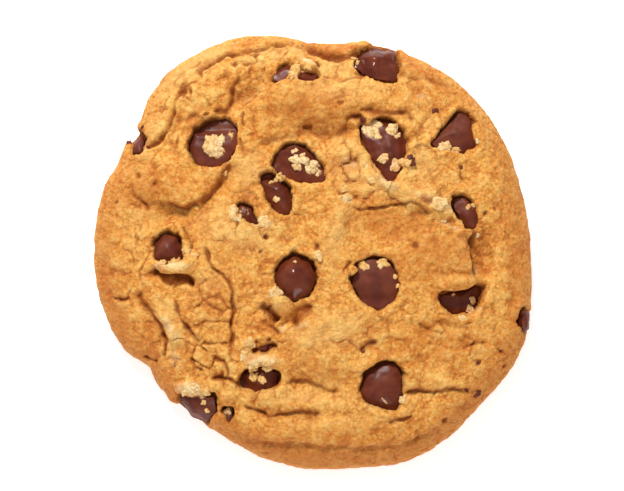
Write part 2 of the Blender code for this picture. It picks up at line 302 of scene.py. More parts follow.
# Dough that laps over a chip: x, y, half-length, half-width, turn, lift, mm.
LAPS = [
    (-3.6, 36.2, 2.2, 1.1, 58, 1.2),
    (-1.4, 38.3, 3.6, 1.2, -14, 1.3),
    (-10, -22.3, 3.4, 1.2, 4, 0.9),
    (-5.6, -11.8, 3, 1.8, -38, 0.6),
    (29.3, -6.7, 4, 1.5, 3, 1.7),
    (-24.6, -28, 3.3, 1.4, -12, 1.2),
    (8.3, -4, 1.2, 1, 0, 0.9),
    (33.8, 24.4, 0.9, 2.2, 15, 0.9),
    (-17, -30, 1.6, 1.6, 0, 1),
    (-15.4, 7, 1.1, 1.6, 0, 0.6),
]

# Pale crumb where the crust tore: x, y, half-length, half-width, turn, strength.
TORN = [
    (-3.3, 36.7, 2.4, 1, 50, 0.7), (-1.2, 39.2, 2.6, 0.8, -25, 0.9),
    (-10, -22.3, 3.6, 1.5, 4, 1), (-12.8, -20.6, 1.6, 1.2, 0, 0.8),
    (-24.6, -28, 3.6, 1.6, -12, 1), (-27.6, -22, 1.8, 4, 15, 0.6),
    (-28, -3.2, 4.6, 1.4, 0, 0.8), (-28.6, -15.6, 1.4, 4.4, 28, 0.7),
    (12.9, 25.2, 1.8, 2.4, 20, 0.8), (17, 17.6, 2.8, 1.4, 20, 0.4),
    (15, 13.6, 3.4, 1.6, -25, 0.7), (25.6, 9.4, 3.4, 1.3, -25, 0.9),
    (27.8, 4.9, 3.4, 0.8, -22, 0.6), (7, 10.4, 1.8, 1.2, 0, 0.8),
    (-10.2, 5.6, 2.4, 1.3, -15, 0.9), (-15.6, 7.2, 1.5, 2, 0, 0.7),
    (-6.6, -8.6, 1.8, 0.9, -20, 0.9), (-6, -15.8, 1.8, 1.2, 30, 0.6),
    (1.2, -1.2, 0.9, 0.6, 0, 0.8), (0.4, 19.4, 1.8, 0.8, -45, 0.7),
    (-6.4, 14.4, 1.6, 0.9, -25, 0.8), (8, 18, 3, 2.4, -60, 0.5),
    (-11.8, 32, 4, 0.7, 38, 0.5), (4.6, 32.4, 2.4, 1.6, 0, 0.4),
    (-23, 37, 3, 2, 30, 0.3), (22.5, 31.5, 2.4, 1.8, 0, 0.4),
    (-12, 17, 2.6, 2, 0, 0.4), (-19, 12, 1.4, 2, 40, 0.3),
    (33.8, -11.8, 1.2, 0.7, 30, 0.7), (27.6, 20.6, 2, 0.8, 0, 0.6),
    (12.6, -31, 4, 0.8, -20, 0.6), (20, -29.6, 3, 0.7, 0, 0.5),
    (10, -1.4, 3, 0.8, 0, 0.3), (-2.2, -15.4, 3, 0.7, 28, 0.6),
    (33.4, -4, 0.8, 1.8, 10, 0.5), (-8, -30.6, 2.4, 0.5, 18, 0.5),
    (24.6, 9.8, 7, 1.2, -24, 0.5),
]

# Where the crust is browner, partly real and partly painted shade on slopes and valleys facing away
# from the key light: x, y, half-length, half-width, turn, strength.
TOASTED_AND_SHADED = [
    (-1, 28.6, 11, 4.6, -4, 0.9), (-33, 12.6, 8, 6, 10, 0.9),
    (24.6, -1.4, 9, 6, 0, 1), (15.6, 5.4, 8.6, 3.4, 0, 1),
    (40.5, 6, 3.5, 24, 4, 0.5), (-40, -6, 4, 18, 8, 0.6),
    (2, -38.6, 26, 4, 0, 0.7), (21, 37.5, 11, 3.4, -32, 0.7),
    (4.6, 41.8, 7, 2, -4, 1), (-20, -11.5, 4, 5, 0, 0.6),
    (1, -24.4, 8, 2.6, -8, 0.7), (27, -19, 10, 6, 10, 0.7),
    (-17.6, 31.6, 2, 3.6, -15, 0.5), (-12, 33, 5, 1.8, 38, 0.6),
    (-19, 14, 1.8, 4.6, -38, 0.8), (4, 23.6, 8, 1.8, 0, 0.6),
    (34.2, -0.6, 1.3, 5, 4, 1), (-6, -32.8, 8, 1.6, 0, 0.7),
    (-33, -17, 4, 4, 0, 0.6), (10, -17, 7, 5, 0, 0.3),
    (-2.6, -12.8, 1.8, 3, -35, 0.9), (-17, -30.4, 1.6, 2, 0, 1),
    (24, 30, 8, 3, -30, 0.4), (17, -35.4, 5, 3, 10, 0.5),
    (-6, 28, 7, 4, 0, 0.6), (-29, 14, 6, 4, 0, 0.5), (18, -20, 6, 4, 0, 0.4),
]

# Dough smeared on the chips: x, y, half-length, half-width, turn, strength.
DUSTED = [
    (-13.8, 7.6, 1.8, 1.4, 0, 0.75), (34.2, 23.6, 1.1, 3, -10, 0.9), (-23.6, -29, 4, 1.2, 0, 0.9),
    (-11.2, -25.4, 2, 0.5, -22, 0.9), (14.8, -30.4, 2, 0.3, -47, 0.8),
    (-16.4, 23.4, 0.5, 1.8, 15, 0.8), (1.2, 17.6, 1.4, 1.4, -40, 0.8), (-1.8, 36.9, 1.6, 0.5, 0, 0.8),
    (17.2, -4.6, 0.7, 2, 25, 0.7), (-17.2, -32.4, 1.8, 1.4, 0, 0.9), (-8.4, 13.2, 0.5, 0.5, 0, 0.7),
    (16.4, 24.4, 1.2, 0.8, -30, 0.8), (32.8, 9.4, 0.8, 1, 0, 0.7), (44.4, -14.4, 1, 2.4, 0, 0.5),
]

# Where the surface is crumbly: x, y, half-length, half-width, turn, strength.
CRUMBLY = [
    (-25, 30, 12, 4.5, 55, 1), (-12, 38.5, 9, 3.5, 18, 0.8), (9, 18, 8, 5, -50, 1),
    (6, 35, 6, 4, 0, 0.5), (-23, -12, 9, 8, 0, 0.7), (-19, -23, 10, 5, -15, 1),
    (-9, -12, 5, 8, 0, 0.9), (-12, 6, 6, 7, -20, 0.6), (21, 10, 10, 3, -24, 0.8),
    (24, 23, 5, 6, 0, 0.5), (10, -18, 8, 5, 0, 0.5), (29, -18, 8, 6, 0, 0.6),
    (-36, -3, 4, 8, 0, 0.5), (19, -33, 8, 3, 15, 0.5), (36, 2, 4, 8, 0, 0.4),
    (-10, -29, 8, 4, 0, 0.6), (-34, 10, 5, 5, 0, 0.4), (-11, 22, 3, 5, 0, 0.5),
]

# Where the crust is paler yellow, partly real and partly painted light on the rim and ridges facing
# the key light: x, y, half-length, half-width, turn, strength.
GOLDEN_AND_LIT = [
    (6, 33.5, 10, 3.4, 0, 0.7), (9, 17, 7, 4.6, -45, 0.9), (24.6, 10.2, 8, 2.2, -24, 0.9),
    (-24, 37.8, 9, 2.8, 38, 1), (4, 37, 5, 3, 0, 0.9), (-12.6, 16, 4, 4.6, 0, 0.8),
    (-15, 4, 8, 4, -12, 0.9), (22, 17, 5, 3.6, 0, 0.7), (-32.4, 24, 2, 5, -25, 0.8),
    (-8, 40.4, 9, 1.6, 14, 0.9), (5, 3.4, 2.4, 7, -22, 0.8), (-21, -7, 4, 5, 0, 0.5),
    (-28.8, -14, 1.8, 6, 28, 0.8), (4, -16.4, 8, 3.6, 12, 0.9), (-2, -29.6, 12, 1.8, -6, 0.7),
    (17, -27.4, 12, 1.4, 4, 0.5), (15, 12.4, 7, 2, -24, 0.9), (-36, 4, 3, 6, 0, 0.4),
    (24, 26, 5, 3, -40, 0.5), (6, -34.6, 12, 1.6, 2, 0.5), (-6.4, -10.4, 3, 2.6, 0, 0.7),
    (-27, -3.4, 4.8, 1.4, 4, 0.6), (30, -1, 1.4, 6, 0, 0.5), (-24, 31, 3, 4, -30, 0.5),
]

# Broad soft rises and dips: x, y, half-length, half-width, turn, height, mm.
SWELLS = [
    (3, 31.4, 13, 3, -5, 0.7), (2, 25, 10, 2, -2, -0.9), (-12.6, 31.8, 7, 1.8, 40, -0.8),
    (-31, 14, 6.5, 5, 10, 0.9), (-25, 7.4, 8, 1.6, 10, -0.7), (-18, 14.4, 1.5, 5, -35, -0.9),
    (5.4, 5, 1.8, 6, -24, 0.6), (15, 3.4, 8, 2.5, 0, -0.7), (20, 11.2, 11, 1.6, -24, 0.6),
    (35, -0.6, 1.5, 5, 4, -1.3), (30.4, -1, 1.8, 6, 0, 0.7), (-3.4, -13.4, 4.8, 1.3, 49, -1.1),
    (1.6, -15.8, 7, 2, 30, 0.6), (-6.6, -10.4, 3, 2, -30, 0.5), (-2, -26.8, 9, 1.3, -8, -0.6),
    (-4, -29.6, 11, 1.4, -6, 0.5), (-8, -32.6, 9, 1.2, -3, -0.6), (6, -35.8, 15, 1.7, 2, 0.4),
    (22, -29, 9, 1.2, 1, -0.6), (24, -25.6, 9, 1.8, 5, 0.4), (-33.6, -13.4, 1.4, 5, 30, -0.8),
    (22, 36.4, 12, 1.6, -38, 0.4), (15, 28.6, 6, 1.3, -6, -0.6), (-22, -11.6, 4.6, 5, 0, 0.5),
    (-14, 4.4, 6, 3.4, -10, 0.5), (8, 17, 6, 3, -50, 0.5), (12, -20, 4, 1.4, 20, -0.4),
    (-29, 28, 2.6, 8, -32, 0.5), (-21.6, 31, 3, 4, -20, 0.5), (28, -16, 5, 1.4, -10, -0.5),
    (20, 21.4, 1.6, 4, 0, 0.4), (-9, 24, 3, 2, 20, 0.4), (36, 16, 2, 8, 12, 0.4),
]


def ellipse_share(x, y, mid_x, mid_y, length, width, turn):
    """0 in the middle of an ellipse, 1 on its outline."""
    cos, sin = math.cos(math.radians(turn)), math.sin(math.radians(turn))
    along = ((x - mid_x) * cos + (y - mid_y) * sin) / length
    across = ((y - mid_y) * cos - (x - mid_x) * sin) / width
    return np.hypot(along, across)


# ---------------------------------------------------------------------------
# Shapes worked out on whole arrays of points, in mm
# ---------------------------------------------------------------------------
def lumpy(points, spacing, layer=0.0):
    """Soft noise from about -1 to 1, with lumps as far apart as spacing."""
    shift = Vector((layer * 17.3, layer * 5.1, layer * 9.7))
    return np.array([noise.noise(Vector(point) / spacing + shift) for point in points])


def rim_reach(angle):
    """Middle to rim, for an array of directions in radians."""
    reach = np.full_like(angle, RIM_REACH)
    for direction, half_width, rise in LOBES:
        away = (np.degrees(angle) - direction + 180.0) % 360.0 - 180.0
        reach += rise * np.exp(-((away / half_width) ** 2))
    return reach


def hummock_rise(x, y):
    flat = np.stack([x, y, np.zeros_like(x)], axis=1)
    rise = SWELL_RISE * lumpy(flat, SWELL_SPACING)
    for mid_x, mid_y, length, width, turn, height in HUMMOCKS:
        share = ellipse_share(x, y, mid_x, mid_y, length, width, turn)
        rise += HUMMOCK_LIFT * height * np.exp(-(share**2))
    return rise


def top_height(x, y):
    """Height of the smooth pillow of dough over points of the tray."""
    share = np.minimum(1.0, np.hypot(x, y) / rim_reach(np.arctan2(y, x)))
    shoulder = SHOULDER_RISE * np.sqrt(1.0 - share**SHOULDER_POWER)
    relief = (1.0 - share**RELIEF_FADE) * hummock_rise(x, y)
    return RIM_HEIGHT + shoulder + DOME_RISE * (1.0 - share**2) + relief


def stroke(x, y, route):
    """Distance to a route, how far along it (0 to 1) the nearest place is, and the
    distance again, positive on the route's left and negative on its right."""
    ends = np.array(route, dtype=float)
    lengths = np.hypot(*(ends[1:] - ends[:-1]).T)
    before = np.concatenate([[0.0], np.cumsum(lengths)])
    nearest = np.full_like(x, np.inf)
    place = np.zeros_like(x)
    side = np.zeros_like(x)
    for start, end, length, done in zip(ends, ends[1:], lengths, before):
        way = (end - start) / length
        from_x, from_y = x - start[0], y - start[1]
        along = np.clip(from_x * way[0] + from_y * way[1], 0.0, length)
        away = np.hypot(from_x - along * way[0], from_y - along * way[1])
        closer = away < nearest
        nearest[closer] = away[closer]
        place[closer] = (done + along[closer]) / before[-1]
        side[closer] = (way[0] * from_y - way[1] * from_x)[closer]
    return nearest, place, side


def smooth_step(value):
    value = np.clip(value, 0.0, 1.0)
    return value * value * (3.0 - 2.0 * value)


def crease_relief(points):
    """Displacement of all creases and ridges, and a 0 to 1 map of the painted shade in their grooves,
    in the pits and on the low side of ledges.
    """
    x = points[:, 0] + WANDER * lumpy(points, WANDER_SPACING, 1) + 0.2 * lumpy(points, 1.0, 11)
    y = points[:, 1] + WANDER * lumpy(points, WANDER_SPACING, 2) + 0.2 * lumpy(points, 1.0, 12)
    uneven = np.clip(0.9 + 0.8 * lumpy(points, 2.0, 3), 0.15, 1.5)
    rise, crease_shade = np.zeros_like(x), np.zeros_like(x)
    for crease in CREASES:
        away, place, side = stroke(x, y, crease.route)
        fade = smooth_step(np.minimum(place, 1.0 - place) / 0.15 + 0.2)
        groove = np.exp(-((away / (GROOVE_SHARE * crease.width)) ** 1.5)) * fade * uneven
        lip = np.exp(-(((away - 1.6 * crease.width) / crease.width) ** 2)) * fade
        ledge = np.tanh(side / (0.5 * crease.width)) * np.exp(-away / LEDGE_REACH) * fade
        rise += crease.lip * lip - crease.depth * groove + 0.7 * crease.step * ledge
        if crease.depth > 0:
            crease_shade = np.maximum(crease_shade, groove * min(1.0, crease.depth / 0.9))
        # Painted shade along the low side of a ledge.
        if crease.step:
            low_side = np.exp(-((away / (0.8 * crease.width)) ** 2)) * fade
            low_side *= smooth_step(0.6 - np.sign(crease.step) * side / crease.width)
            crease_shade = np.maximum(crease_shade, 0.55 * low_side * min(1.0, abs(crease.step)))
    for mid_x, mid_y, reach, depth in PITS:
        pit = np.exp(-((np.hypot(x - mid_x, y - mid_y) / reach) ** 2))
        rise -= depth * pit
        crease_shade = np.maximum(crease_shade, pit)
    return rise, crease_shade


def crazing(points, spacing, layer):
    """Fine cracks between plates of crust, 0 to 1, broken off at random."""
    shift = Vector((layer * 2.9, layer * 5.3, layer * 4.1))
    bent = points + 0.5 * np.stack([lumpy(points, 1.6, layer + n) for n in range(3)], axis=1)
    cells = (noise.voronoi(Vector(p) / spacing + shift)[0] for p in bent)
    edge = np.array([cell[1] - cell[0] for cell in cells])
    shown = smooth_step(0.4 + 1.8 * lumpy(points, 3.0, layer + 5))
    return np.exp(-((edge * spacing / 0.36) ** 2)) * shown


def swell_relief(points):
    """Displacement of the broad soft rises and dips."""
    x = points[:, 0] + 1.2 * lumpy(points, 5.0, 17)
    y = points[:, 1] + 1.2 * lumpy(points, 5.0, 18)
    rise = np.zeros_like(x)
    for mid_x, mid_y, length, width, turn, height in SWELLS:
        share = ellipse_share(x, y, mid_x, mid_y, length, width, turn)
        rise += height * np.exp(-(share**2))
    return rise


def nuggets(points, spacing, layer):
    """Rounded lumps with sharp valleys between them, from 0 to 1."""
    shift = Vector((layer * 3.7, layer * 7.9, layer * 1.3))
    bend = [lumpy(points, 0.6 * spacing, layer + 40 + n) for n in range(3)]
    bent = points + 0.35 * spacing * np.stack(bend, axis=1)
    near = np.array([noise.voronoi(Vector(p) / spacing + shift)[0][0] for p in bent])
    return 1.0 - np.clip(near * 1.15, 0.0, 1.0) ** 2


def outline_reach(outline, middle):
    """Reach of a drawn outline in evenly spread directions, with its corners rounded."""
    corners = np.array(outline) - middle
    after = np.roll(corners, -1, axis=0)
    angles = np.linspace(-math.pi, math.pi, OUTLINE_STEPS, endpoint=False)
    way = np.stack([np.cos(angles), np.sin(angles)], axis=1)
    reach = np.full(OUTLINE_STEPS, np.inf)
    for start, end in zip(corners, after):
        edge = end - start
        cross = way[:, 0] * edge[1] - way[:, 1] * edge[0]
        cross = np.where(np.abs(cross) < 1e-9, 1e-9, cross)
        out = (start[0] * edge[1] - start[1] * edge[0]) / cross
        along = (start[0] * way[:, 1] - start[1] * way[:, 0]) / cross
        meets = (out > 0) & (along >= 0) & (along <= 1)
        reach = np.where(meets, np.minimum(reach, out), reach)
    for _ in range(CORNER_ROUNDS):
        reach = (np.roll(reach, 1) + 2 * reach + np.roll(reach, -1)) / 4
    return angles, reach


def chip_share(x, y, name):
    """Distance from a chip's middle and the reach of its outline that way, mm."""
    middle = np.mean(CHIPS[name].outline, axis=0)
    angles, reach = outline_reach(CHIPS[name].outline, middle)
    angle = np.arctan2(y - middle[1], x - middle[0])
    away = np.hypot(x - middle[0], y - middle[1])
    return away, np.interp(angle, angles, reach, period=math.tau), angle


def chip_distance(x, y, name):
    """Roughly how far points lie outside a chip's outline, mm, inside being negative,
    and where the dough shrank away from it, 0 to 1."""
    away, reach, angle = chip_share(x, y, name)
    lean = math.radians(OPEN_SIDE - OPEN_SPREAD * (int(name[-2:]) % 3 - 1))
    open_side = np.clip(0.3 + 0.8 * np.cos(angle - lean), 0.0, 1.0)
    return away - reach - OPEN_GAP * open_side, open_side


def lap_share(points):
    """How far dough laps over chips (0 to 1), and by how much it is lifted, mm."""
    x = points[:, 0] + 0.35 * lumpy(points, 1.5, 13)
    y = points[:, 1] + 0.35 * lumpy(points, 1.5, 14)
    lap, lift = np.zeros_like(x), np.zeros_like(x)
    for mid_x, mid_y, length, width, turn, height in LAPS:
        share = ellipse_share(x, y, mid_x, mid_y, length, width, turn)
        inside = 1.0 - smooth_step((share - 0.85) / 0.3)
        lap = np.maximum(lap, inside)
        lift = np.maximum(lift, height * inside * (1.0 - 0.35 * np.minimum(share, 1.0) ** 2))
    return lap, lift


def pocket_relief(points):
    """Dough pressed away from the chips, with a lip pushed up round each, and a 0 to 1 map of painted
    shadow in the gap round each chip, strongest on its open side.
    """
    x, y = points[:, 0], points[:, 1]
    stray = 0.45 * lumpy(points, 1.8, 4) + 0.25 * lumpy(points, 0.8, 15)
    uneven = np.clip(0.55 + 0.9 * lumpy(points, 2.8, 5), 0.0, 1.3)
    lap, lift = lap_share(points)
    rise, shade = np.zeros_like(x), np.zeros_like(x)
    for name, chip in CHIPS.items():
        away, open_side = chip_distance(x, y, name)
        away = away + stray
        sunk = 1.0 - smooth_step((away + 0.25) / (0.25 + chip.gap * (0.3 + 0.7 * open_side)))
        lip = np.exp(-(((away - 1.1) / 0.9) ** 2)) * uneven
        rise += chip.bank * lip - POCKET_DEPTH * sunk * (1.0 - lap)
        # Painted shadow in the gap just outside each chip.
        near = np.exp(-((np.clip(away, 0, None) / 0.28) ** 2))
        shade = np.maximum(shade, near * (1.0 - lap) * (0.25 + 0.75 * open_side))
    return rise + lift, shade


def patch_share(points, patches):
    """How strongly a set of elliptical patches shows, 0 to 1, with ragged edges."""
    x, y = points[:, 0], points[:, 1]
    shown = np.zeros_like(x)
    for mid_x, mid_y, length, width, turn, strength in patches:
        share = ellipse_share(x, y, mid_x, mid_y, length, width, turn)
        shown = np.maximum(shown, strength * np.exp(-(share**2)))
    return shown * (0.9 + 0.6 * lumpy(points, 1.0, 9))


# ---------------------------------------------------------------------------
# Dough
# ---------------------------------------------------------------------------
GRID_CELLS = 290  # across the top: cells of about 0.3 mm
SHOULDER_BAND = 0.14  # outer share of the grid that carries the shoulder
WALL_RINGS = 5
BASE_RINGS = 6


def disc_places(square):
    """Places on a unit disc for places on a square from -1 to 1."""
    x, y = square[:, 0], square[:, 1]
    return np.stack([x * np.sqrt(1 - y**2 / 2), y * np.sqrt(1 - x**2 / 2)], axis=1)


def mesh_points(mesh):
    flat = np.empty(len(mesh.vertices) * 3)
    mesh.vertices.foreach_get("co", flat)
    return flat.reshape(-1, 3)


def mesh_normals(mesh):
    flat = np.empty(len(mesh.vertices) * 3)
    mesh.vertex_normals.foreach_get("vector", flat)
    return flat.reshape(-1, 3)


def set_points(mesh, points):
    mesh.vertices.foreach_set("co", np.ascontiguousarray(points).ravel())
    mesh.update()


def paint(mesh, name, values):
    """Stores one number a vertex for the materials to read."""
    layer = mesh.attributes.new(name, "FLOAT", "POINT")
    layer.data.foreach_set("value", np.clip(values, 0.0, 1.0).astype(np.float32))


def dough_mesh():
    """Grid for the top, its edge extruded down the wall and closed underneath."""
    bm = bmesh.new()
    bmesh.ops.create_grid(bm, x_segments=GRID_CELLS, y_segments=GRID_CELLS, size=1.0)
    ring_layer = bm.verts.layers.int.new("ring")
    rim = [edge for edge in bm.edges if edge.is_boundary]
    for ring in range(1, WALL_RINGS + BASE_RINGS + 1):
        grown = bmesh.ops.extrude_edge_only(bm, edges=rim)["geom"]
        rim = [part for part in grown if isinstance(part, bmesh.types.BMEdge)]
        for vert in (part for part in grown if isinstance(part, bmesh.types.BMVert)):
            vert[ring_layer] = ring
    bmesh.ops.contextual_create(bm, geom=rim)
    bmesh.ops.triangulate(bm, faces=[face for face in bm.faces if len(face.verts) > 4])
    bmesh.ops.recalc_face_normals(bm, faces=bm.faces)
    mesh = bpy.data.meshes.new("dough")
    bm.to_mesh(mesh)
    bm.free()
    return mesh


def wall_place(ring):
    """Share of the rim's reach and height of a ring below the rim's widest line."""
    if ring <= WALL_RINGS:
        down = ring / WALL_RINGS
        share = 1.0 - (1.0 - BASE_SHARE) * (1.0 - math.sqrt(1.0 - down**2.6))
        return share, RIM_HEIGHT * (1.0 - down)
    inward = (ring - WALL_RINGS) / (BASE_RINGS + 1)
    return BASE_SHARE * (1.0 - inward), 0.0


def pillow_points(mesh):
    """Places of the smooth pillow for the dough mesh's vertices, mm."""
    rings = np.empty(len(mesh.vertices), dtype=np.int32)
    mesh.attributes["ring"].data.foreach_get("value", rings)
    disc = disc_places(mesh_points(mesh)[:, :2])
    reach_share = np.minimum(1.0, np.hypot(disc[:, 0], disc[:, 1]))
    angle = np.arctan2(disc[:, 1], disc[:, 0])
    inner = 1.0 - SHOULDER_BAND
    turn = np.clip((reach_share - inner) / SHOULDER_BAND, 0.0, 1.0) * math.pi / 2
    slope = inner + SHOULDER_BAND * 0.62 * np.sin(turn)
    slope /= inner + SHOULDER_BAND * 0.62
    share = np.where(reach_share < inner, reach_share / (inner + SHOULDER_BAND * 0.62), slope)
    places = [wall_place(ring) for ring in range(WALL_RINGS + BASE_RINGS + 1)]
    wall_share = np.array([place[0] for place in places])[rings]
    wall_height = np.array([place[1] for place in places])[rings]
    below = rings > 0
    share = np.where(below, wall_share, share)
    reach = rim_reach(angle) * share
    x, y = reach * np.cos(angle), reach * np.sin(angle)
    z = np.where(below, wall_height, top_height(x, y))
    return np.stack([x, y, z], axis=1), below


CRAZING_SPACING = 3.6  # size of the plates of crust between fine cracks, mm
BIG_NUGGETS = 4.2  # spacing of the lumps of crumb, mm
SMALL_NUGGETS = 1.9
GRAIN_SPACING = 0.65
GRAIN_RISE = 0.1
CRACK_DEPTH = 0.7
ROUGH_EVERYWHERE = 0.12  # crumbliness of the smoothest crust, 0 to 1


def build_dough():
    mesh = dough_mesh()
    points, below = pillow_points(mesh)
    set_points(mesh, points)
    normals = mesh_normals(mesh)
    creases, crease_shade = crease_relief(points)
    pockets, shade = pocket_relief(points)
    rough = np.clip(ROUGH_EVERYWHERE + patch_share(points, CRUMBLY), 0.0, 1.0)
    cracks = crazing(points, CRAZING_SPACING, 31) * (0.25 + 0.75 * rough)
    lumps = (0.1 + 0.7 * rough) * (nuggets(points, BIG_NUGGETS, 1) - 0.6)
    lumps += (0.18 + 0.4 * rough) * (nuggets(points, SMALL_NUGGETS, 2) - 0.6)
    lumps += 0.3 * lumpy(points, 2.6, 6) + 0.2 * lumpy(points, 1.1, 7) - CRACK_DEPTH * cracks
    grain = GRAIN_RISE * lumpy(points, GRAIN_SPACING, 8)
    share = np.hypot(points[:, 0], points[:, 1]) / rim_reach(
        np.arctan2(points[:, 1], points[:, 0])
    )
    height_share = smooth_step(points[:, 2] / 2.0) * (1.0 - 0.5 * smooth_step((share - 0.9) / 0.1))
    broad = swell_relief(points) * height_share
    rise = np.where(below, 0.0, creases + pockets + broad) + (lumps + grain) * height_share
    flat_under = points[:, 2] < 0.02
    rise[flat_under] = 0.0
    points = points + normals * rise[:, None]
    points[flat_under, 2] = 0.0
    upper = smooth_step((points[:, 2] - 0.6) / 1.2)
    low, high = np.array(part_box("dough")) / MM
    high[2] = cad_box[1][2] / MM
    points = np.clip(points, low, high)
    set_points(mesh, points * MM)
    # Painted shade in the creases, cracks and pits and in the gaps round the chips.
    paint(mesh, "crease", upper * np.maximum(np.maximum(crease_shade, 0.8 * shade), 0.7 * cracks))
    paint(mesh, "under", 1.0 - smooth_step(points[:, 2] / 3.0))
    # Painted light on the tops of the lumps and painted shade between them, both read from the lump
    # height.
    paint(mesh, "lump", np.clip(0.55 + upper * lumps, 0.0, 1.0))
    paint(mesh, "torn", upper * patch_share(points, TORN))
    # Browner crust, partly painted shade on slopes facing away from the key light.
    paint(mesh, "toasted_and_shaded", upper * patch_share(points, TOASTED_AND_SHADED))
    # Paler yellow crust, partly painted light on ridges and slopes facing the key light.
    paint(mesh, "golden_and_lit", upper * patch_share(points, GOLDEN_AND_LIT))
    # Rim browning all round, with painted shade added towards the near side, which faces away from
    # the key light.
    shaded_near_side = 0.5 - 0.5 * points[:, 1] / np.maximum(np.hypot(points[:, 0], points[:, 1]), 1.0)
    paint(mesh, "browned_and_shaded", smooth_step((share - 0.85) / 0.1) * (0.25 + 0.75 * shaded_near_side))
    mesh.attributes.remove(mesh.attributes["ring"])
    mesh.shade_smooth()
    return add_piece("dough", mesh, DOUGH)



# ---------------------------------------------------------------------------
# Chips
# ---------------------------------------------------------------------------
CHIP_ROUNDS = 5  # icosphere subdivisions: facets of about 0.3 mm
TIP_DEPTH = 3.4  # of the teardrop hidden in the dough, mm
TIP_POWER = 1.8
WALL_DEPTH = 0.6


def dough_tilt(x, y):
    """Turn that takes +Z to the dough's outward direction round a point."""
    near = np.array([[x + 2, y], [x - 2, y], [x, y + 2], [x, y - 2]], dtype=float)
    east, west, north, south = top_height(near[:, 0], near[:, 1])
    outward = Vector((west - east, south - north, 4.0))
    return Vector((0, 0, 1)).rotation_difference(outward).to_matrix().to_4x4()


def faceted(points, chip, chance):
    """Flat places left where the face set against its neighbours in the bag."""
    size = np.abs(points[:, :2]).max()
    limit = np.full(len(points), np.inf)
    for number in range(chip.facets):
        angle = math.tau * (number + chance.uniform(-0.3, 0.3)) / chip.facets
        slope = chance.uniform(0.25, 0.7)
        out = points[:, 0] * math.cos(angle) + points[:, 1] * math.sin(angle)
        start = size * chance.uniform(-0.15, 0.3)
        limit = np.minimum(limit, chip.rise - slope * (out - start))
    return np.minimum(points[:, 2], limit)


def build_chip(name):
    chip = CHIPS[name]
    bm = bmesh.new()
    bmesh.ops.create_icosphere(bm, subdivisions=CHIP_ROUNDS, radius=1.0)
    mesh = bpy.data.meshes.new(name)
    bm.to_mesh(mesh)
    bm.free()
    unit = mesh_points(mesh)
    radius = np.clip(np.hypot(unit[:, 0], unit[:, 1]), 0.0, 1.0)
    middle = np.mean(chip.outline, axis=0)
    angles, reach = outline_reach(chip.outline, middle)
    size = np.interp(np.arctan2(unit[:, 1], unit[:, 0]), angles, reach, period=math.tau)
    face = chip.rise * (1.0 - radius**chip.face)
    tip = -WALL_DEPTH - TIP_DEPTH * (1.0 - radius**TIP_POWER)
    upper = unit[:, 2] >= 0
    points = np.stack([unit[:, 0] * size, unit[:, 1] * size, face], axis=1)
    layer = float(name[-2:]) + 20.0
    points[:, 2] = faceted(points, chip, random.Random(int(layer)))
    points[:, 2] = np.where(upper, np.maximum(points[:, 2], -WALL_DEPTH), tip)
    set_points(mesh, points)
    crinkle = chip.crinkle * (lumpy(points, 2.4, layer) + 0.4 * lumpy(points, 1.1, layer))
    points = points + mesh_normals(mesh) * (crinkle - 0.5 * chip.crinkle)[:, None]
    seat = dough_tilt(middle[0], middle[1])
    turned = points @ np.array(seat.to_3x3()).T
    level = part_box(name)[1][2] / MM - chip.sink - turned[:, 2].max()
    turned += np.array([middle[0], middle[1], level])
    low, high = np.array(cad_box) / MM
    turned = np.clip(turned, low, high)
    set_points(mesh, turned * MM)
    paint(mesh, "dusted", patch_share(turned, DUSTED))
    paint(mesh, "gloss", np.full(len(turned), chip.gloss))
    mesh.shade_smooth()
    return add_piece(name, mesh, CHOCOLATE)


